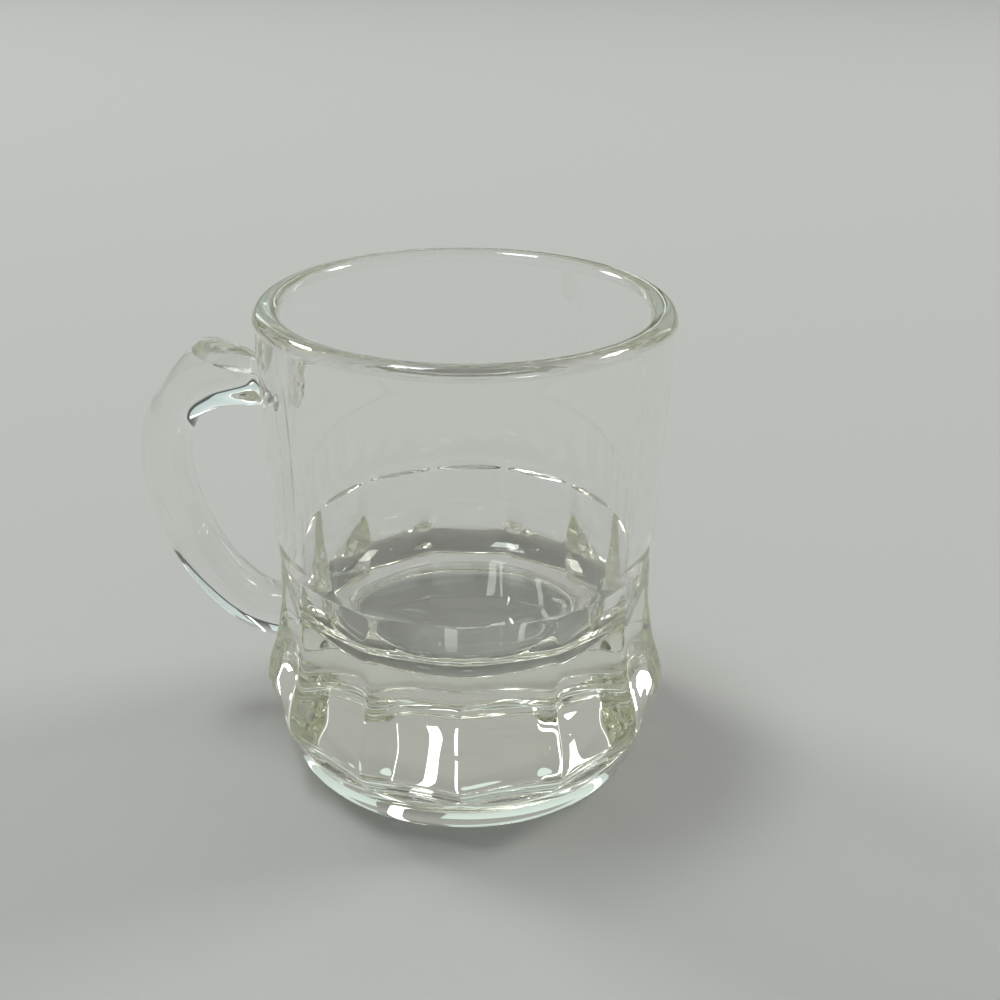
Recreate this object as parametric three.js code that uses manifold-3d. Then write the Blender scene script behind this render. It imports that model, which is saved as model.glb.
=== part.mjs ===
// Miniature pressed-glass beer mug: a round cup over a heavy panelled base, with a C-shaped handle.
// Millimetres, +Z up. The origin is on the cup's axis at table level, and the handle points along -X.
import * as THREE from 'three';
import { mergeVertices } from 'three/addons/utils/BufferGeometryUtils.js';
import Module from 'manifold-3d';

const wasm = await Module();
wasm.setup();

// Cup
const HEIGHT = 50.3;
const RIM_RADIUS = 21;
const WAIST_RADIUS = 20.05;
const WALL = 2.8;
const INNER_DRAFT = 0.7;
const FLOOR_HEIGHT = 15.5;
const FLOOR_CORNER = 6.5;

// Panelled base: radii are those of the ridges between the flat panels
const PANELS = 13;
const PANEL_TOP = 24.6;
const PANEL_TOP_RADIUS = 19.95;
const PANEL_LEDGE = 0.7;
const FLARE_RADIUS = 22.2;
const FLARE_HEIGHT = 7.6;
const FLARE_UPPER_PULL = 13.4;
const FLARE_LOWER_PULL = 4.1;
const TUCK_PULL = 1.6;
const PANEL_FOOT = 4.1;
const PANEL_FOOT_RADIUS = 20.5;

// Foot ring, with a narrow bead where the panels stand on it
const FOOT_RADIUS = 19.5;
const FOOT_HEIGHT = 2;
const FOOT_ROUND = 0.8;
const BEAD_STEP = 0.85;
const BEAD_HEIGHT = 3.8;

// Handle: heights and distances out from the cup's axis are those of its centre line
const HANDLE_REACH = 32.6;
const HANDLE_MIDDLE = 31;
const HANDLE_THICKNESS = 5.2;
const HANDLE_WIDTH = 6;
const NECK_HEIGHT = 40;
const NECK_THICKNESS = 4.2;
const ROOT_HEIGHT = 12.8;
const ROOT_THICKNESS = 5.8;

// Bow of the handle: share of its reach, and share of the way from its middle to its neck or root
const UPPER_SHARES = [[0, 1], [0.3, 1.02], [0.58, 0.98], [0.82, 0.78], [0.95, 0.46], [1, 0]];
const LOWER_SHARES = [[0.965, 0.23], [0.82, 0.54], [0.6, 0.79], [0.33, 0.95], [0, 1]];

// Thumb rest: a blunt swelling over the upper bend, cut to a flat that rises outwards
const THUMB_SWELL = 2.6;
const THUMB_SPREAD = 0.7;
const THUMB_BLUNTNESS = 0.45;
const THUMB_START = 23.5;
const THUMB_HEIGHT = 42.6;
const THUMB_SLOPE = 19;

// The handle stands this far off the cup
const JOINT_GAP = 0.3;

// Mesh fineness
const TURN_STEPS = 72;
const FLUTE_STEPS = 8;
const SWELL_STEPS = 4;
const ARC_STEPS = 4;
const SECTION_STEPS = 20;
const HANDLE_STEPS = 34;

const vec = (radius, height) => new THREE.Vector2(radius, height);
const { lerp, smoothstep, degToRad } = THREE.MathUtils;

function toSolid(geometry) {
  const bare = geometry.index ? geometry.toNonIndexed() : geometry;
  bare.deleteAttribute('normal');
  bare.deleteAttribute('uv');
  const merged = mergeVertices(bare);
  const corners = Array.from(merged.index.array);
  const triVerts = [];
  for (let i = 0; i < corners.length; i += 3) {
    const [a, b, c] = corners.slice(i, i + 3);
    if (a !== b && b !== c && c !== a) triVerts.push(a, b, c);
  }
  return new wasm.Manifold(new wasm.Mesh({
    numProp: 3,
    vertProperties: new Float32Array(merged.attributes.position.array),
    triVerts: new Uint32Array(triVerts),
  }));
}

function toGeometry(solid) {
  const mesh = solid.getMesh();
  const geometry = new THREE.BufferGeometry();
  geometry.setAttribute('position', new THREE.BufferAttribute(mesh.vertProperties, 3));
  geometry.setIndex(new THREE.BufferAttribute(mesh.triVerts, 1));
  const flatShaded = geometry.toNonIndexed();
  flatShaded.computeVertexNormals();
  return flatShaded;
}

// Solid of revolution about Z, with its first vertical edge on +X
function revolve(profile, steps) {
  const geometry = new THREE.LatheGeometry(profile, steps);
  geometry.rotateX(Math.PI / 2);
  geometry.rotateZ(Math.PI / 2);
  return toSolid(geometry);
}

// Outside of the cup, with a half-round lip and a sloping ledge down to the panels
function cup(grow) {
  const lip = WALL / 2;
  const ledgeRadius = WAIST_RADIUS - PANEL_LEDGE;
  const outline = new THREE.Path();
  outline.moveTo(0, PANEL_TOP - PANEL_LEDGE);
  outline.lineTo(ledgeRadius + grow, PANEL_TOP - PANEL_LEDGE);
  outline.lineTo(WAIST_RADIUS + grow, PANEL_TOP);
  outline.lineTo(RIM_RADIUS + grow, HEIGHT - lip);
  outline.absarc(RIM_RADIUS - lip, HEIGHT - lip, lip + grow, 0, Math.PI / 2, false);
  outline.lineTo(0, HEIGHT + grow);
  return revolve(outline.getPoints(ARC_STEPS), TURN_STEPS);
}

// Base with flat panels, one ridge on +X and so one panel behind the handle. Its ridge line swells
// from the waist to the flare and tucks in to the foot.
function panelledBase(grow) {
  const swell = new THREE.CubicBezierCurve(
    vec(PANEL_FOOT_RADIUS, PANEL_FOOT),
    vec(lerp(PANEL_FOOT_RADIUS, FLARE_RADIUS, 0.4), PANEL_FOOT + TUCK_PULL / 2),
    vec(FLARE_RADIUS, FLARE_HEIGHT - TUCK_PULL),
    vec(FLARE_RADIUS, FLARE_HEIGHT),
  );
  const flute = new THREE.CubicBezierCurve(
    vec(FLARE_RADIUS, FLARE_HEIGHT),
    vec(FLARE_RADIUS, FLARE_HEIGHT + FLARE_LOWER_PULL),
    vec(PANEL_TOP_RADIUS, PANEL_TOP - FLARE_UPPER_PULL),
    vec(PANEL_TOP_RADIUS, PANEL_TOP),
  );
  const ridge = [...swell.getPoints(SWELL_STEPS), ...flute.getPoints(FLUTE_STEPS).slice(1)];
  const grown = ridge.map((point) => vec(point.x + grow, point.y));
  const profile = [vec(0, PANEL_FOOT), ...grown, vec(0, PANEL_TOP)];
  return revolve(profile, PANELS);
}

function foot(grow) {
  const top = PANEL_FOOT + BEAD_STEP;
  const outline = new THREE.Path();
  outline.moveTo(0, -grow);
  outline.lineTo(FOOT_RADIUS - FOOT_ROUND + grow, -grow);
  outline.quadraticCurveTo(FOOT_RADIUS + grow, -grow, FOOT_RADIUS + grow, FOOT_ROUND);
  outline.lineTo(FOOT_RADIUS + grow, FOOT_HEIGHT);
  outline.lineTo(FOOT_RADIUS + BEAD_STEP + grow, BEAD_HEIGHT);
  outline.lineTo(FOOT_RADIUS + grow, top);
  outline.lineTo(0, top);
  return revolve(outline.getPoints(ARC_STEPS), TURN_STEPS);
}

const outside = (grow) => cup(grow).add(panelledBase(grow)).add(foot(grow));

// Inside of the cup: drafted wall, a deep rounded corner and a flat floor, with the inner half of the lip
function cavity() {
  const lip = WALL / 2;
  const mouth = RIM_RADIUS - WALL;
  const side = mouth - INNER_DRAFT;
  const corner = vec(side - FLOOR_CORNER, FLOOR_HEIGHT + FLOOR_CORNER);
  const outline = new THREE.Path();
  outline.moveTo(0, FLOOR_HEIGHT);
  outline.lineTo(corner.x, FLOOR_HEIGHT);
  outline.absarc(corner.x, corner.y, FLOOR_CORNER, -Math.PI / 2, 0, false);
  outline.lineTo(mouth, HEIGHT - lip);
  outline.absarc(mouth + lip, HEIGHT - lip, lip, Math.PI, Math.PI / 2, true);
  outline.lineTo(mouth + lip, HEIGHT + lip);
  outline.lineTo(0, HEIGHT + lip);
  return revolve(outline.getPoints(ARC_STEPS), TURN_STEPS);
}

const blunt = (value, power) => Math.sign(value) * Math.abs(value) ** power;

// Closed tube through sections along a curve in the XZ plane: an oval inner half and a blunter outer half
function loft(curve, section) {
  const positions = [];
  const index = [];
  const across = new THREE.Vector3(0, 1, 0);
  for (let i = 0; i <= HANDLE_STEPS; i += 1) {
    const t = i / HANDLE_STEPS;
    const centre = curve.getPointAt(t);
    const out = new THREE.Vector3().crossVectors(across, curve.getTangentAt(t));
    const { outer, inner, halfWidth, bluntness } = section(t);
    for (let j = 0; j < SECTION_STEPS; j += 1) {
      const turn = (j / SECTION_STEPS) * 2 * Math.PI;
      const [depth, power] = Math.cos(turn) > 0 ? [outer, bluntness] : [inner, 1];
      const point = centre.clone();
      point.addScaledVector(out, blunt(Math.cos(turn), power) * depth);
      point.addScaledVector(across, blunt(Math.sin(turn), power) * halfWidth);
      positions.push(point.x, point.y, point.z);
    }
  }
  for (let i = 0; i < HANDLE_STEPS; i += 1) {
    for (let j = 0; j < SECTION_STEPS; j += 1) {
      const a = i * SECTION_STEPS + j;
      const b = i * SECTION_STEPS + ((j + 1) % SECTION_STEPS);
      index.push(a, b, a + SECTION_STEPS, b, b + SECTION_STEPS, a + SECTION_STEPS);
    }
  }
  const last = HANDLE_STEPS * SECTION_STEPS;
  for (let j = 1; j < SECTION_STEPS - 1; j += 1) {
    index.push(0, j + 1, j, last, last + j, last + j + 1);
  }
  const geometry = new THREE.BufferGeometry();
  geometry.setAttribute('position', new THREE.Float32BufferAttribute(positions, 3));
  geometry.setIndex(index);
  return geometry;
}

// Bow of the handle, from inside the cup's wall at the neck to inside the base at the root
function handleBow() {
  const inWall = WAIST_RADIUS - WALL / 2;
  const at = (share, height) => new THREE.Vector3(-lerp(inWall, HANDLE_REACH, share), 0, height);
  const curve = new THREE.CatmullRomCurve3([
    ...UPPER_SHARES.map(([share, climb]) => at(share, lerp(HANDLE_MIDDLE, NECK_HEIGHT, climb))),
    ...LOWER_SHARES.map(([share, fall]) => at(share, lerp(HANDLE_MIDDLE, ROOT_HEIGHT, fall))),
  ]);
  const section = (t) => {
    const upper = lerp(NECK_THICKNESS, HANDLE_THICKNESS, smoothstep(t, 0.08, 0.24)) / 2;
    const inner = lerp(upper, ROOT_THICKNESS / 2, smoothstep(t, 0.75, 1));
    const thumb = smoothstep(t, 0.05, 0.14) * (1 - smoothstep(t, 0.14, 0.29));
    return {
      inner,
      outer: inner + THUMB_SWELL * thumb,
      halfWidth: HANDLE_WIDTH / 2 + THUMB_SPREAD * thumb,
      bluntness: lerp(1, THUMB_BLUNTNESS, thumb),
    };
  };
  return toSolid(loft(curve, section));
}

// Block over the thumb rest, whose underside is the flat that rises outwards
function thumbCut() {
  const size = HANDLE_REACH;
  const geometry = new THREE.BoxGeometry(2 * size, 2 * HANDLE_WIDTH, size);
  geometry.translate(0, 0, size / 2);
  geometry.rotateY(degToRad(THUMB_SLOPE));
  geometry.translate(-THUMB_START, 0, THUMB_HEIGHT);
  return toSolid(geometry);
}

const clearGlass = () => new THREE.MeshStandardMaterial({
  color: 0xdfe6dc,
  roughness: 0.04,
  metalness: 0,
  transparent: true,
  opacity: 0.4,
});

function named(name, solid) {
  const mesh = new THREE.Mesh(toGeometry(solid), clearGlass());
  mesh.name = name;
  return mesh;
}

const mug = new THREE.Group();
mug.add(named('mug_body', outside(0).subtract(cavity())));
mug.add(named('handle', handleBow().subtract(thumbCut()).subtract(outside(JOINT_GAP))));

export default mug;
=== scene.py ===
"""Dresses the miniature pressed-glass beer mug: a panelled glass body and a glass handle on a plain stage.

Run as a script in Blender 4.5. Sizes in the property groups are metres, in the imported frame:
+Z up along the cup's axis, the handle towards -X, and the table at Z = 0.
"""

import math

import bmesh
import bpy
from mathutils import Matrix, Vector


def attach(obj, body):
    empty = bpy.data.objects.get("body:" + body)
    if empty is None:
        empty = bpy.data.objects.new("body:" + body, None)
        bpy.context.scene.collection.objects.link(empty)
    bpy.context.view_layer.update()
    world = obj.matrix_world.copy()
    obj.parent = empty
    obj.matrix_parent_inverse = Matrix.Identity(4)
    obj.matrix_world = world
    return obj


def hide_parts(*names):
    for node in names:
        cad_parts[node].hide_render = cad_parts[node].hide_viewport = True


bl_info = {
    "name": "Pressed Glass Shot Mug",
    "version": (1, 0, 0),
    "blender": (4, 5, 0),
    "location": "View3D > Sidebar > Shot Mug",
    "description": "Builds a miniature pressed-glass beer mug with a panelled base and a handle",
    "category": "Object",
}

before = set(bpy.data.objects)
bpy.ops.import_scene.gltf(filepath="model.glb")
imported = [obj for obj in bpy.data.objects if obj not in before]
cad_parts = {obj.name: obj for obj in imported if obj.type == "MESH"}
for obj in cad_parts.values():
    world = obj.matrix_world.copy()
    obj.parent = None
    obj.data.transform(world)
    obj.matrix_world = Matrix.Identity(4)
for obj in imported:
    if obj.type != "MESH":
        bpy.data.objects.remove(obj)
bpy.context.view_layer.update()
MM = 0.001
GLASS_IOR = 1.52
TINT_DENSITY = 32.0
# Face attribute that is 1 where the handle and the cup are one glass
FUSED = "fused"
# Clearance between the handle's cut ends and the cup
HAIR = 0.02 * MM
# Points closer than this are one point
WELD = 0.002 * MM
# Edges bent more than this are sharp until they are eased
CREASE = math.radians(35)
STEPS_PER_PANEL = 24
HANDLE_SIDES = 64
EDGE_SEGMENTS = 3
# Light is guided along a glass wall by many reflections, and with fewer bounces the lip goes black
BOUNCES = 40
FLOOR_HALF = 4.0
HORIZON = "#4e4f4d"
ZENITH = "#b2b3b1"
# Sine of the height above the horizon at which the sky reaches its full tone
SKY_CLIMB = 0.6
# Name, place, width and height in metres, watts and colour of each soft light
SOFTBOXES = (
    ("overhead_softbox", (-0.4, 0.1, 1.5), 0.45, 0.28, 6.8, "#eef9f8"),
    ("left_softbox", (-1.06, 0.61, 1.05), 0.4, 0.25, 6.8, "#fffaf3"),
    ("right_softbox", (0.98, 0.57, 1.13), 0.4, 0.25, 6.8, "#fffaf3"),
    ("back_left_panel", (-0.95, 2.0, 0.6), 1.5, 0.9, 2.8, "#d8edeb"),
    ("back_right_panel", (0.95, 2.0, 0.6), 1.5, 0.9, 2.8, "#d8edeb"),
    ("back_strip", (0.05, 1.6, 0.65), 0.08, 1.1, 0.7, "#f4faf9"),
    ("back_left_strip", (-1.0, 1.25, 0.65), 0.1, 1.1, 0.7, "#f4faf9"),
    ("back_right_strip", (0.95, 1.3, 0.65), 0.1, 1.1, 0.7, "#f4faf9"),
)
# Points along each stretch of the profile
UNDERSIDE_STEPS = 12
FOOT_ROUND_STEPS = 8
BEAD_STEPS = 4
SWELL_STEPS = 20
FLUTE_STEPS = 40
LEDGE_STEPS = 10
WALL_STEPS = 20
LIP_STEPS = 12
CORNER_STEPS = 28
INNER_FLOOR_STEPS = 14


# Small helpers


def linear(hex_colour, alpha=1.0):
    """sRGB hex text as a linear RGBA tuple."""
    channels = [int(hex_colour[i:i + 2], 16) / 255 for i in (1, 3, 5)]
    return tuple(c / 12.92 if c <= 0.04045 else ((c + 0.055) / 1.055) ** 2.4 for c in channels) + (alpha,)


def add(tree, kind, settings=None, values=None, links=None):
    """Adds a node, sets its attributes and input values, and links other nodes' sockets to its inputs."""
    node = tree.nodes.new(kind)
    for name, value in (settings or {}).items():
        setattr(node, name, value)
    for name, value in (values or {}).items():
        node.inputs[name].default_value = value
    for name, socket in (links or {}).items():
        tree.links.new(socket, node.inputs[name])
    return node


def math_node(tree, operation, *operands):
    """One scalar operation on sockets or plain numbers."""
    node = tree.nodes.new("ShaderNodeMath")
    node.operation = operation
    for slot, value in zip(node.inputs, operands):
        if isinstance(value, bpy.types.NodeSocket):
            tree.links.new(value, slot)
        else:
            slot.default_value = value
    return node.outputs[0]


def smooth(value, low, high):
    """Smooth step of value from 0 at low to 1 at high."""
    share = min(max((value - low) / (high - low), 0.0), 1.0)
    return share * share * (3 - 2 * share)


def mix(first, second, share):
    return first + (second - first) * share


def bezier(points, steps):
    """Points along a cubic Bezier curve of (radius, height) pairs."""
    out = []
    for i in range(steps + 1):
        t = i / steps
        weights = ((1 - t) ** 3, 3 * (1 - t) ** 2 * t, 3 * (1 - t) * t * t, t ** 3)
        out.append(tuple(sum(w * p[axis] for w, p in zip(weights, points)) for axis in (0, 1)))
    return out


def arc(centre, radius, start, end, steps):
    """Points along a circular arc, with angles in degrees."""
    out = []
    for i in range(steps + 1):
        turn = math.radians(mix(start, end, i / steps))
        out.append((centre[0] + radius * math.cos(turn), centre[1] + radius * math.sin(turn)))
    return out


def line(start, end, steps):
    return [tuple(mix(a, b, i / steps) for a, b in zip(start, end)) for i in range(steps + 1)]


def new_object(name, mesh):
    obj = bpy.data.objects.new(name, mesh)
    bpy.context.scene.collection.objects.link(obj)
    return obj


def bake(obj):
    """Turns an object's modifiers into a plain mesh."""
    graph = bpy.context.evaluated_depsgraph_get()
    mesh = bpy.data.meshes.new_from_object(obj.evaluated_get(graph))
    obj.modifiers.clear()
    obj.data = mesh


def drop(obj):
    bpy.data.objects.remove(obj, do_unlink=True)


# Properties


def size_prop(name, description, millimetres):
    return bpy.props.FloatProperty(
        name=name, description=description, default=millimetres * MM, unit="LENGTH", precision=5)


def colour_prop(name, description, hex_colour):
    return bpy.props.FloatVectorProperty(
        name=name, description=description, default=linear(hex_colour)[:3],
        subtype="COLOR", size=3, min=0, max=1)


class ShotMugBody(bpy.types.PropertyGroup):
    """Sizes of the cup, the panelled base and the foot"""

    height: size_prop("Height", "Table to the top of the lip", 50.3)
    rim_radius: size_prop("Rim radius", "Outside of the cup at the lip", 21.0)
    waist_radius: size_prop("Waist radius", "Outside of the cup above the panels", 20.05)
    wall: size_prop("Wall", "Thickness of the wall and of the half-round lip", 2.8)
    inner_draft: size_prop("Inner draft", "How much the inside narrows towards the floor", 0.7)
    floor_height: size_prop("Floor height", "Table to the inside floor", 15.5)
    floor_corner: size_prop("Floor corner", "Radius between the inside wall and the floor", 6.5)
    panels: bpy.props.IntProperty(name="Panels", description="Flat panels round the base", default=13, min=3)
    panel_top: size_prop("Panel top", "Height of the ledge over the panels", 24.6)
    panel_top_radius: size_prop("Panel top radius", "Ridge radius under the ledge", 19.95)
    panel_ledge: size_prop("Panel ledge", "Height of the sloping ledge over a panel", 0.7)
    flare_radius: size_prop("Flare radius", "Greatest ridge radius", 22.2)
    flare_height: size_prop("Flare height", "Height of the greatest ridge radius", 7.6)
    flare_upper_pull: size_prop("Flare upper pull", "How long the ridge stays upright below the waist", 13.4)
    flare_lower_pull: size_prop("Flare lower pull", "How long the ridge stays upright above the flare", 4.1)
    tuck_pull: size_prop("Tuck pull", "How long the ridge stays upright below the flare", 1.6)
    panel_foot: size_prop("Panel foot", "Height of the lower end of the panels", 4.1)
    panel_foot_radius: size_prop("Panel foot radius", "Ridge radius at the lower end", 20.5)
    foot_radius: size_prop("Foot radius", "Radius of the foot ring", 19.5)
    foot_height: size_prop("Foot height", "Height of the foot ring's side", 2.0)
    foot_round: size_prop("Foot round", "Rounding of the foot's lower edge", 0.8)
    bead_step: size_prop("Bead step", "How far the bead under the panels stands out from the foot", 0.85)
    bead_height: size_prop("Bead height", "Height of the bead under the panels", 3.8)
    ridge_round: bpy.props.FloatProperty(
        name="Ridge round", description="Softness of a ridge, as a share of half a panel", default=0.09)
    panel_hollow: size_prop("Panel hollow", "How far a panel's middle dips below flat", 0.3)
    ripple: size_prop("Ripple", "Depth of the faint waves that the cold mould leaves", 0.035)
    ripple_length: size_prop("Ripple length", "Length of those waves", 9.0)


class ShotMugHandle(bpy.types.PropertyGroup):
    """Sizes of the handle"""

    reach: size_prop("Reach", "Cup's axis to the handle's centre line", 32.6)
    middle: size_prop("Middle", "Height where the handle reaches furthest", 31.0)
    thickness: size_prop("Thickness", "Thickness of the bow, seen from the side", 5.2)
    width: size_prop("Width", "Width of the bow, seen from the end", 6.0)
    neck_height: size_prop("Neck height", "Height of the centre line at the cup's wall", 40.0)
    neck_thickness: size_prop("Neck thickness", "Thickness at the cup's wall", 4.2)
    root_height: size_prop("Root height", "Height of the centre line at the base", 12.8)
    root_thickness: size_prop("Root thickness", "Thickness at the base", 5.8)
    thumb_swell: size_prop("Thumb swell", "Swelling over the upper bend", 2.6)
    thumb_spread: size_prop("Thumb spread", "Added to half the width at the thumb rest", 0.7)
    thumb_start: size_prop("Thumb start", "Cup's axis to the thumb rest's reference point", 23.5)
    thumb_height: size_prop("Thumb height", "Height of the thumb rest's flat at that point", 42.6)
    thumb_slope: bpy.props.FloatProperty(
        name="Thumb slope", description="Rise of the thumb rest's flat",
        default=math.radians(19), subtype="ANGLE")
    squareness: bpy.props.FloatProperty(
        name="Squareness", description="Power of the oval section: 2 is an ellipse", default=2.2, min=2)
    thumb_squareness: bpy.props.FloatProperty(
        name="Thumb squareness", description="Power of the outer half at the thumb rest", default=4.4, min=2)
    edge: size_prop("Edge", "Rounding of the thumb rest's edges", 0.15)


class ShotMugLook(bpy.types.PropertyGroup):
    """Colours of the glass and the stage"""

    tint: colour_prop("Tint", "Colour that thick glass leaves in the light", "#f7f8f0")
    floor: colour_prop("Floor", "Colour of the plain floor", "#b6b7b5")


# Materials


def soda_lime_glass(look):
    """Pressed soda-lime glass, fire polished: a clear hard gloss with a thin bright line on each edge.

    A trace of iron tints thick glass olive green, so the heavy base shows it and the thin wall hardly does.
    Where the handle runs into the cup the glass is fused, so light goes straight on and no surface shows.
    """
    material = bpy.data.materials.new("pressed_soda_lime_glass")
    material.use_nodes = True
    tree = material.node_tree
    tree.nodes.clear()
    fused = add(tree, "ShaderNodeAttribute", {"attribute_name": FUSED})
    ior = add(tree, "ShaderNodeMapRange", values={"To Min": GLASS_IOR, "To Max": 1.0},
              links={"Value": fused.outputs["Fac"]})
    surface = add(tree, "ShaderNodeBsdfPrincipled",
                  values={"Base Color": (1, 1, 1, 1), "Roughness": 0.0, "IOR": GLASS_IOR,
                          "Transmission Weight": 1.0},
                  links={"IOR": ior.outputs["Result"]})
    bulk = add(tree, "ShaderNodeVolumeAbsorption",
               values={"Color": (*look.tint, 1), "Density": TINT_DENSITY})
    add(tree, "ShaderNodeOutputMaterial", links={"Surface": surface.outputs[0], "Volume": bulk.outputs[0]})
    return material


def studio_floor(look):
    """Matt painted board: an even pale grey with hardly any sheen, marked only by the mug's shadow."""
    material = bpy.data.materials.new("matt_painted_board")
    material.use_nodes = True
    tree = material.node_tree
    tree.nodes.clear()
    board = add(tree, "ShaderNodeBsdfPrincipled",
                values={"Base Color": (*look.floor, 1), "Roughness": 0.9, "Specular IOR Level": 0.1})
    add(tree, "ShaderNodeOutputMaterial", links={"Surface": board.outputs[0]})
    return material


def named_material(name, maker):
    """The named material, made on first use."""
    return bpy.data.materials.get(name) or maker(bpy.context.scene.shot_mug_look)


def glass():
    return named_material("pressed_soda_lime_glass", soda_lime_glass)


def mark_fused(mesh, is_fused):
    """Notes on each face whether it is where the handle and the cup are one glass."""
    mark = mesh.attributes.new(FUSED, "FLOAT", "FACE")
    mark.data.foreach_set("value", [float(is_fused(face.center)) for face in mesh.polygons])


# Body


def outer_profile(body, grow=0.0):
    """Outside of the mug from the table's centre to the lip: (radius, height, flatness) for each point."""
    lip = body.wall / 2
    rows = []

    def put(points, flatness):
        for i, (radius, height) in enumerate(points):
            share = flatness(i / max(len(points) - 1, 1)) if callable(flatness) else flatness
            rows.append((radius + grow, height, share))

    put(line((-grow, 0), (body.foot_radius - body.foot_round, 0), UNDERSIDE_STEPS)[:-1], 0)
    round_centre = (body.foot_radius - body.foot_round, body.foot_round)
    put(arc(round_centre, body.foot_round, -90, 0, FOOT_ROUND_STEPS), 0)
    bead = (body.foot_radius + body.bead_step, body.bead_height)
    put(line((body.foot_radius, body.foot_height), bead, BEAD_STEPS), 0)
    foot = (body.panel_foot_radius, body.panel_foot)
    put(line(bead, foot, BEAD_STEPS)[1:-1], lambda share: smooth(share, -0.5, 1.5))
    swell = bezier([
        foot,
        (mix(foot[0], body.flare_radius, 0.4), foot[1] + body.tuck_pull / 2),
        (body.flare_radius, body.flare_height - body.tuck_pull),
        (body.flare_radius, body.flare_height),
    ], SWELL_STEPS)
    flute = bezier([
        (body.flare_radius, body.flare_height),
        (body.flare_radius, body.flare_height + body.flare_lower_pull),
        (body.panel_top_radius, body.panel_top - body.flare_upper_pull),
        (body.panel_top_radius, body.panel_top - body.panel_ledge),
    ], FLUTE_STEPS)
    put(swell, 1)
    put(flute[1:], 1)
    waist = (body.waist_radius, body.panel_top)
    ledge = line((body.panel_top_radius, body.panel_top - body.panel_ledge), waist, LEDGE_STEPS)
    put(ledge[1:], lambda share: 1 - smooth(share, 0.2, 0.95))
    put(line(waist, (body.rim_radius, body.height - lip), WALL_STEPS)[1:], 0)
    lip_centre = (body.rim_radius - lip, body.height - lip)
    put(arc(lip_centre, lip, 0, 90, LIP_STEPS)[1:], 0)
    return rows


def inner_profile(body):
    """Inside of the mug from the lip to the floor's centre."""
    lip = body.wall / 2
    mouth = body.rim_radius - body.wall
    side = mouth - body.inner_draft
    corner = (side - body.floor_corner, body.floor_height + body.floor_corner)
    points = arc((mouth + lip, body.height - lip), lip, 90, 180, LIP_STEPS)[1:]
    points += line((mouth, body.height - lip), (side, corner[1]), WALL_STEPS)[1:]
    points += arc(corner, body.floor_corner, 0, -90, CORNER_STEPS)[1:]
    points += line((corner[0], body.floor_height), (0, body.floor_height), INNER_FLOOR_STEPS)[1:]
    return [(radius, height, 0.0) for radius, height in points]


def profile_object(name, rows):
    """A line of points that the turning tree reads: X is the radius, Z the height."""
    mesh = bpy.data.meshes.new(name)
    points = [(max(radius, 0.0), 0, height) for radius, height, _ in rows]
    mesh.from_pydata(points, [(i, i + 1) for i in range(len(rows) - 1)], [])
    flatness = mesh.attributes.new("flatness", "FLOAT", "POINT")
    for i, row in enumerate(rows):
        flatness.data[i].value = row[2]
    return new_object(name, mesh)


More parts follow.
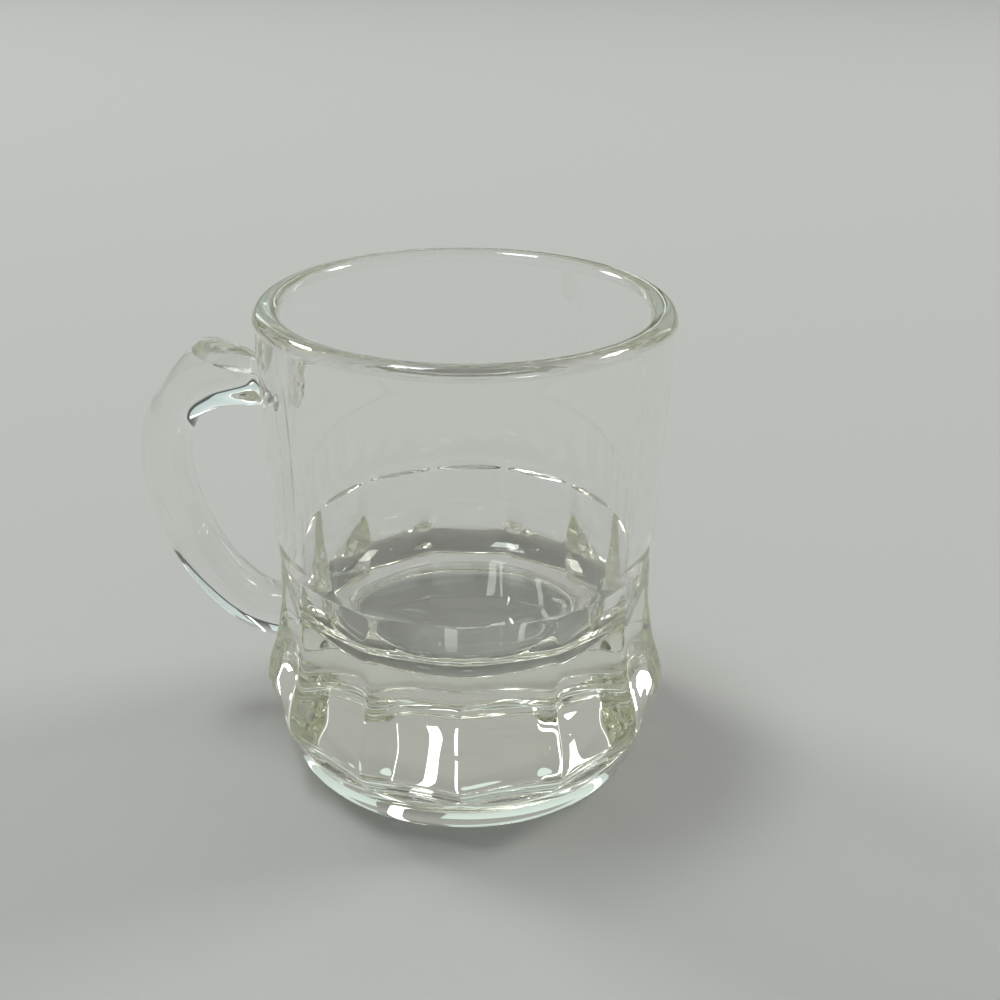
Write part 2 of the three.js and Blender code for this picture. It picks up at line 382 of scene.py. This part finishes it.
def panel_turning_tree():
    """Turns a profile about Z, and draws it in to flat panels where its flatness is 1."""
    tree = bpy.data.node_groups.new("panel_turning", "GeometryNodeTree")
    sockets = {
        "Geometry": "NodeSocketGeometry", "Profile": "NodeSocketObject", "Rows": "NodeSocketInt",
        "Panels": "NodeSocketInt", "Steps per panel": "NodeSocketInt", "Ridge round": "NodeSocketFloat",
        "Panel hollow": "NodeSocketFloat", "Ripple": "NodeSocketFloat", "Ripple length": "NodeSocketFloat",
        "Material": "NodeSocketMaterial",
    }
    for name, kind in sockets.items():
        tree.interface.new_socket(name, in_out="INPUT", socket_type=kind)
    tree.interface.new_socket("Geometry", in_out="OUTPUT", socket_type="NodeSocketGeometry")
    given = add(tree, "NodeGroupInput").outputs

    columns = math_node(tree, "MULTIPLY", given["Panels"], given["Steps per panel"])
    grid = add(tree, "GeometryNodeMeshGrid",
               links={"Vertices X": math_node(tree, "ADD", columns, 1.0), "Vertices Y": given["Rows"]})
    index = add(tree, "GeometryNodeInputIndex").outputs[0]
    row = math_node(tree, "MODULO", index, given["Rows"])
    column_middle = math_node(tree, "DIVIDE", math_node(tree, "ADD", index, 0.5), given["Rows"])
    column = math_node(tree, "FLOOR", column_middle)

    # Each panel's columns crowd towards its two ridges
    half_panel = math_node(tree, "DIVIDE", math.pi, given["Panels"])
    step = math_node(tree, "DIVIDE", column, given["Steps per panel"])
    panel = math_node(tree, "FLOOR", math_node(tree, "ADD", step, 1e-4))
    across = math_node(tree, "MULTIPLY_ADD", math_node(tree, "SUBTRACT", step, panel), 2.0, -1.0)
    eased = math_node(tree, "SINE", math_node(tree, "MULTIPLY", across, math.pi / 2))
    centre = math_node(tree, "MULTIPLY", math_node(tree, "MULTIPLY_ADD", panel, 2.0, 1.0), half_panel)
    angle = math_node(tree, "ADD", centre, math_node(tree, "MULTIPLY", eased, half_panel))

    # A flat panel is nearer the axis in its middle than at its ridges, which are slightly rounded
    from_ridge = math_node(tree, "SUBTRACT", 1.0, math_node(tree, "ABSOLUTE", eased))
    soft_square = math_node(tree, "ADD", math_node(tree, "POWER", from_ridge, 2.0),
                            math_node(tree, "POWER", given["Ridge round"], 2.0))
    soft = math_node(tree, "SUBTRACT", 1.0, math_node(tree, "SQRT", soft_square))
    slant = math_node(tree, "COSINE", math_node(tree, "MULTIPLY", soft, half_panel))
    drawn = math_node(tree, "DIVIDE", math_node(tree, "COSINE", half_panel), slant)

    profile = add(tree, "GeometryNodeObjectInfo", links={"Object": given["Profile"]})
    position = add(tree, "GeometryNodeInputPosition")
    point = add(tree, "GeometryNodeSampleIndex", {"data_type": "FLOAT_VECTOR"}, links={
        "Geometry": profile.outputs["Geometry"], "Value": position.outputs[0], "Index": row})
    flat_name = add(tree, "GeometryNodeInputNamedAttribute", {"data_type": "FLOAT"}, {"Name": "flatness"})
    flatness = add(tree, "GeometryNodeSampleIndex", {"data_type": "FLOAT"}, links={
        "Geometry": profile.outputs["Geometry"], "Value": flat_name.outputs[0], "Index": row})
    place = add(tree, "ShaderNodeSeparateXYZ", links={"Vector": point.outputs[0]})
    blend = math_node(tree, "MULTIPLY", math_node(tree, "SUBTRACT", drawn, 1.0), flatness.outputs[0])
    flat_radius = math_node(tree, "MULTIPLY", place.outputs["X"], math_node(tree, "ADD", blend, 1.0))
    dip = math_node(tree, "SUBTRACT", 1.0, math_node(tree, "POWER", soft, 2.0))
    dip_depth = math_node(tree, "MULTIPLY", dip, given["Panel hollow"])
    hollow = math_node(tree, "MULTIPLY", dip_depth, flatness.outputs[0])
    radius = math_node(tree, "SUBTRACT", flat_radius, hollow)
    turned = add(tree, "ShaderNodeCombineXYZ", links={
        "X": math_node(tree, "MULTIPLY", radius, math_node(tree, "COSINE", angle)),
        "Y": math_node(tree, "MULTIPLY", radius, math_node(tree, "SINE", angle)),
        "Z": place.outputs["Z"]})
    shaped = add(tree, "GeometryNodeSetPosition", links={
        "Geometry": grid.outputs["Mesh"], "Position": turned.outputs[0]})
    closed = add(tree, "GeometryNodeMergeByDistance", values={"Distance": WELD},
                 links={"Geometry": shaped.outputs[0]})

    # Faint waves, cut only inwards so that the sizes hold
    waves = add(tree, "ShaderNodeTexNoise", {"noise_dimensions": "4D"}, {"W": 7.0, "Detail": 1.0}, {
        "Scale": math_node(tree, "DIVIDE", 1.0, given["Ripple length"]), "Vector": position.outputs[0]})
    normal = add(tree, "GeometryNodeInputNormal")
    inward = math_node(tree, "MULTIPLY", given["Ripple"], -1.0)
    depth = math_node(tree, "MULTIPLY", waves.outputs["Fac"], inward)
    offset = add(tree, "ShaderNodeVectorMath", {"operation": "SCALE"},
                 links={"Vector": normal.outputs[0], "Scale": depth})
    waved = add(tree, "GeometryNodeSetPosition", links={
        "Geometry": closed.outputs[0], "Offset": offset.outputs[0]})
    smoothed = add(tree, "GeometryNodeSetShadeSmooth", links={"Geometry": waved.outputs[0]})
    real = add(tree, "GeometryNodeRealizeInstances", links={"Geometry": smoothed.outputs[0]})
    painted = add(tree, "GeometryNodeSetMaterial", links={
        "Geometry": real.outputs[0], "Material": given["Material"]})
    add(tree, "NodeGroupOutput", links={"Geometry": painted.outputs[0]})
    return tree


def turn_profile(name, rows, body, ripple):
    """A closed glass piece turned from a profile, with its panels."""
    tree = bpy.data.node_groups.get("panel_turning") or panel_turning_tree()
    profile = profile_object(name + "_profile", rows)
    obj = new_object(name, bpy.data.meshes.new(name))
    modifier = obj.modifiers.new("Panel turning", "NODES")
    modifier.node_group = tree
    values = {
        "Profile": profile, "Rows": len(rows), "Panels": body.panels, "Steps per panel": STEPS_PER_PANEL,
        "Ridge round": body.ridge_round, "Panel hollow": body.panel_hollow,
        "Ripple": ripple, "Ripple length": body.ripple_length, "Material": glass(),
    }
    for item in tree.interface.items_tree:
        if item.name in values:
            modifier[item.identifier] = values[item.name]
    bake(obj)
    drop(profile)
    face_outward(obj.data)
    return obj


def face_outward(mesh):
    """Makes a closed mesh's faces point out."""
    shell = bmesh.new()
    shell.from_mesh(mesh)
    bmesh.ops.recalc_face_normals(shell, faces=shell.faces)
    if shell.calc_volume(signed=True) < 0:
        bmesh.ops.reverse_faces(shell, faces=shell.faces)
    shell.to_mesh(mesh)
    shell.free()


class SHOTMUG_OT_body(bpy.types.Operator):
    """Builds the glass body: cup, panelled base and foot"""

    bl_idname = "shotmug.body"
    bl_label = "Glass body"

    def execute(self, context):
        body = context.scene.shot_mug_body
        obj = turn_profile("mug_body_glass", outer_profile(body) + inner_profile(body), body, body.ripple)
        mark_fused(obj.data, HandleBow(context.scene.shot_mug_handle, body).holds)
        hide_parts("mug_body")
        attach(obj, "root")
        return {"FINISHED"}


# Handle


def blunt(value, power):
    """A sine or cosine raised to a power, with its sign kept."""
    return math.copysign(abs(value) ** power, value)


class HandleBow:
    """Centre line and section of the handle, from inside the wall at the neck to inside the base."""

    UPPER = ((0, 1), (0.3, 1.02), (0.58, 0.98), (0.82, 0.78), (0.95, 0.46), (1, 0))
    LOWER = ((0.965, 0.23), (0.82, 0.54), (0.6, 0.79), (0.33, 0.95), (0, 1))
    STEPS = 160

    def __init__(self, handle, body):
        self.handle = handle
        in_wall = body.waist_radius - body.wall / 2
        self.wall_radius = body.waist_radius - body.wall / 3

        def at(share, height):
            return Vector((-mix(in_wall, handle.reach, share), 0, height))

        knots = [at(s, mix(handle.middle, handle.neck_height, c)) for s, c in self.UPPER]
        knots += [at(s, mix(handle.middle, handle.root_height, c)) for s, c in self.LOWER]
        self.centres = self.spline(knots)
        self.shares = self.lengths()

    def spline(self, knots):
        """Points of a smooth curve through the knots."""
        ends = [2 * knots[0] - knots[1], *knots, 2 * knots[-1] - knots[-2]]
        out = []
        spans = len(knots) - 1
        for i in range(self.STEPS + 1):
            place = i / self.STEPS * spans
            span = min(int(place), spans - 1)
            out.append(self.span_point(ends[span:span + 4], place - span))
        return out

    @staticmethod
    def span_point(p, t):
        """A point between the middle two of four knots, by centripetal Catmull-Rom."""
        gaps = [max((b - a).length, 1e-9) ** 0.5 for a, b in zip(p, p[1:])]
        first = (p[1] - p[0]) / gaps[0] - (p[2] - p[0]) / (gaps[0] + gaps[1]) + (p[2] - p[1]) / gaps[1]
        last = (p[2] - p[1]) / gaps[1] - (p[3] - p[1]) / (gaps[1] + gaps[2]) + (p[3] - p[2]) / gaps[2]
        first *= gaps[1]
        last *= gaps[1]
        two = -3 * p[1] + 3 * p[2] - 2 * first - last
        three = 2 * p[1] - 2 * p[2] + first + last
        return p[1] + first * t + two * t * t + three * t * t * t

    def lengths(self):
        """Share of the whole length at each point."""
        total = [0.0]
        for a, b in zip(self.centres, self.centres[1:]):
            total.append(total[-1] + (b - a).length)
        return [value / total[-1] for value in total]

    def tangent(self, i):
        low = self.centres[max(i - 1, 0)]
        high = self.centres[min(i + 1, self.STEPS)]
        return (high - low).normalized()

    def outward(self, i):
        return Vector((0, 1, 0)).cross(self.tangent(i))

    def inner_half(self, share):
        upper = mix(self.handle.neck_thickness, self.handle.thickness, smooth(share, 0.08, 0.24)) / 2
        return mix(upper, self.handle.root_thickness / 2, smooth(share, 0.75, 1))

    @staticmethod
    def thumb(share):
        """How much of the thumb rest's swelling is on a section."""
        return smooth(share, 0.05, 0.14) * (1 - smooth(share, 0.14, 0.29))

    def outer_half(self, share):
        return self.inner_half(share) + self.handle.thumb_swell * self.thumb(share)

    def section(self, turn, share):
        """Offsets out and across at an angle: an oval inner half, and an outer half blunt at the thumb."""
        cos, sin = math.cos(turn), math.sin(turn)
        square = self.handle.squareness
        half = self.inner_half(share)
        if cos > 0:
            square = mix(square, self.handle.thumb_squareness, self.thumb(share))
            half = self.outer_half(share)
        side = self.handle.width / 2 + self.handle.thumb_spread * self.thumb(share)
        return half * blunt(cos, 2 / square), side * blunt(sin, 2 / square)

    def holds(self, point):
        """True for a point of the cup's outside that the handle runs into."""
        if point.x > -self.wall_radius + 2 * MM or abs(point.y) > self.handle.width / 2:
            return False
        if math.hypot(point.x, point.y) < self.wall_radius:
            return False
        best = min(range(self.STEPS + 1), key=lambda i: (self.centres[i].xz - point.xz).length)
        out = (point - self.centres[best]).dot(self.outward(best))
        half = self.outer_half(self.shares[best]) if out > 0 else self.inner_half(self.shares[best])
        power = self.handle.squareness
        return abs(out / half) ** power + abs(point.y / (self.handle.width / 2)) ** power < 0.9


def loft(bow, around):
    """Closed mesh of ovals along the handle's bow."""
    shell = bmesh.new()
    rings = []
    for i, centre in enumerate(bow.centres):
        out = bow.outward(i)
        ring = []
        for j in range(around):
            depth, side = bow.section(j / around * math.tau, bow.shares[i])
            ring.append(shell.verts.new(centre + out * depth + Vector((0, side, 0))))
        rings.append(ring)
    for low, high in zip(rings, rings[1:]):
        for j in range(around):
            k = (j + 1) % around
            shell.faces.new((low[j], low[k], high[k], high[j]))
    shell.faces.new(rings[0])
    shell.faces.new(rings[-1])
    bmesh.ops.recalc_face_normals(shell, faces=shell.faces)
    for face in shell.faces:
        face.smooth = True
    mesh = bpy.data.meshes.new("mug_handle_glass")
    shell.to_mesh(mesh)
    shell.free()
    return mesh


def cut(obj, cutter):
    """Takes the cutter's solid from an object. The cut keeps the cutter's material and face notes."""
    modifier = obj.modifiers.new("Cut", "BOOLEAN")
    modifier.operation = "DIFFERENCE"
    modifier.solver = "EXACT"
    modifier.material_mode = "TRANSFER"
    modifier.object = cutter
    bake(obj)
    drop(cutter)


def ease_edges(obj, radius):
    """Rounds an object's sharp edges a little, as fire polishing does."""
    modifier = obj.modifiers.new("Ease", "BEVEL")
    modifier.limit_method = "ANGLE"
    modifier.angle_limit = CREASE
    modifier.width = radius
    modifier.segments = EDGE_SEGMENTS
    bake(obj)


def thumb_cutter(handle):
    """Block over the thumb rest, whose underside is the flat that rises outwards."""
    size = handle.reach
    mesh = bpy.data.meshes.new("thumb_cutter")
    block = bmesh.new()
    bmesh.ops.create_cube(block, size=1)
    place = Matrix.Translation((-handle.thumb_start, 0, handle.thumb_height))
    place @= Matrix.Rotation(handle.thumb_slope, 4, "Y")
    place @= Matrix.Diagonal((2 * size, 2 * handle.width, size, 1))
    place @= Matrix.Translation((0, 0, 0.5))
    bmesh.ops.transform(block, matrix=place, verts=block.verts)
    block.to_mesh(mesh)
    block.free()
    mesh.materials.append(glass())
    return new_object("thumb_cutter", mesh)


class SHOTMUG_OT_handle(bpy.types.Operator):
    """Builds the glass handle with its thumb rest"""

    bl_idname = "shotmug.handle"
    bl_label = "Glass handle"

    def execute(self, context):
        handle = context.scene.shot_mug_handle
        body = context.scene.shot_mug_body
        obj = new_object("mug_handle_glass", loft(HandleBow(handle, body), HANDLE_SIDES))
        obj.data.materials.append(glass())
        cut(obj, thumb_cutter(handle))
        ease_edges(obj, handle.edge)
        closed = outer_profile(body, HAIR) + [(0.0, body.height + HAIR, 0.0)]
        envelope = turn_profile("mug_envelope", closed, body, 0.0)
        mark_fused(obj.data, lambda centre: False)
        mark_fused(envelope.data, lambda centre: True)
        cut(obj, envelope)
        obj.data.set_sharp_from_angle(angle=CREASE)
        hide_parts("handle")
        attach(obj, "root")
        return {"FINISHED"}


# Stage


class SHOTMUG_OT_stage(bpy.types.Operator):
    """Builds the floor, the soft lights, the world and the photograph's camera"""

    bl_idname = "shotmug.stage"
    bl_label = "Stage"

    def execute(self, context):
        scene = context.scene
        floor_mesh = bpy.data.meshes.new("studio_floor")
        corners = [(-1, -1), (1, -1), (1, 1), (-1, 1)]
        floor_mesh.from_pydata([(x * FLOOR_HALF, y * FLOOR_HALF, 0) for x, y in corners], [], [(0, 1, 2, 3)])
        floor_mesh.materials.append(named_material("matt_painted_board", studio_floor))
        new_object("studio_floor", floor_mesh)
        for settings in SOFTBOXES:
            softbox(*settings)
        studio_world(scene)
        photo_camera(scene)
        scene.view_settings.view_transform = "Standard"
        for kind in ("max_bounces", "transmission_bounces", "glossy_bounces", "transparent_max_bounces"):
            setattr(scene.cycles, kind, BOUNCES)
        return {"FINISHED"}


def softbox(name, place, width, height, watts, hex_colour):
    """A rectangular soft light that faces the mug and shows only in the glass."""
    lamp = bpy.data.lights.new(name, "AREA")
    lamp.shape = "RECTANGLE"
    lamp.size = width
    lamp.size_y = height
    lamp.energy = watts
    lamp.color = linear(hex_colour)[:3]
    obj = new_object(name, lamp)
    aim = -Vector(place)
    obj.visible_camera = False
    obj.matrix_world = Matrix.Translation(place) @ aim.to_track_quat("-Z", "Y").to_matrix().to_4x4()


def studio_world(scene):
    """Plain surroundings: a pale ceiling that darkens towards the horizon, so that glass edges show."""
    world = bpy.data.worlds.new("studio_world")
    world.use_nodes = True
    tree = world.node_tree
    tree.nodes.clear()
    way = add(tree, "ShaderNodeTexCoord")
    height = add(tree, "ShaderNodeSeparateXYZ", links={"Vector": way.outputs["Generated"]})
    climb = add(tree, "ShaderNodeMapRange", {"interpolation_type": "SMOOTHSTEP"},
                {"From Min": 0.0, "From Max": SKY_CLIMB}, {"Value": height.outputs["Z"]})
    tone = add(tree, "ShaderNodeMix", {"data_type": "RGBA"}, links={"Factor": climb.outputs["Result"]})
    tone.inputs["A"].default_value = linear(HORIZON)
    tone.inputs["B"].default_value = linear(ZENITH)
    air = add(tree, "ShaderNodeBackground", links={"Color": tone.outputs["Result"]})
    add(tree, "ShaderNodeOutputWorld", links={"Surface": air.outputs[0]})
    scene.world = world


def photo_camera(scene):
    """Camera at the photograph's viewing angle: place, aim and focal length from its rim, foot and weave."""
    distance, height = 122.98 * MM, 86.9 * MM
    pitch, yaw, roll = 0.4455, 0.0295, 0.0131
    focal_pixels, frame_pixels = 1280.5, 1000.0
    bearing = math.radians(8.2)
    lens = bpy.data.cameras.new("photo_camera")
    lens.sensor_width = 36.0
    lens.lens = lens.sensor_width * focal_pixels / frame_pixels
    lens.clip_start = 0.001
    ahead = Vector((math.sin(yaw) * math.cos(pitch), math.cos(yaw) * math.cos(pitch), -math.sin(pitch)))
    right = ahead.cross(Vector((0, 0, 1))).normalized()
    up = right.cross(ahead)
    right, up = (right * math.cos(roll) + up * math.sin(roll), up * math.cos(roll) - right * math.sin(roll))
    turn = Matrix((right, up, -ahead)).transposed().to_4x4()
    spin = Matrix.Rotation(bearing, 4, "Z")
    camera = new_object("photo_camera", lens)
    camera.matrix_world = spin @ Matrix.Translation((0, -distance, height)) @ turn
    scene.camera = camera


# Panel and registration


class SHOTMUG_PT_panel(bpy.types.Panel):
    """Shot mug tools"""

    bl_label = "Shot Mug"
    bl_space_type = "VIEW_3D"
    bl_region_type = "UI"
    bl_category = "Shot Mug"

    def draw(self, context):
        for operator in (SHOTMUG_OT_body, SHOTMUG_OT_handle, SHOTMUG_OT_stage):
            self.layout.operator(operator.bl_idname)
        for group in ("shot_mug_body", "shot_mug_handle", "shot_mug_look"):
            settings = getattr(context.scene, group)
            column = self.layout.column(align=True)
            for name in settings.__annotations__:
                column.prop(settings, name)


GROUPS = {"shot_mug_body": ShotMugBody, "shot_mug_handle": ShotMugHandle, "shot_mug_look": ShotMugLook}
CLASSES = (*GROUPS.values(), SHOTMUG_OT_body, SHOTMUG_OT_handle, SHOTMUG_OT_stage, SHOTMUG_PT_panel)


def register():
    for cls in CLASSES:
        bpy.utils.register_class(cls)
    for name, group in GROUPS.items():
        setattr(bpy.types.Scene, name, bpy.props.PointerProperty(type=group))


def unregister():
    for name in GROUPS:
        delattr(bpy.types.Scene, name)
    for cls in reversed(CLASSES):
        bpy.utils.unregister_class(cls)


def main():
    register()
    bpy.ops.shotmug.body()
    bpy.ops.shotmug.handle()
    bpy.ops.shotmug.stage()


if __name__ == "__main__":
    main()
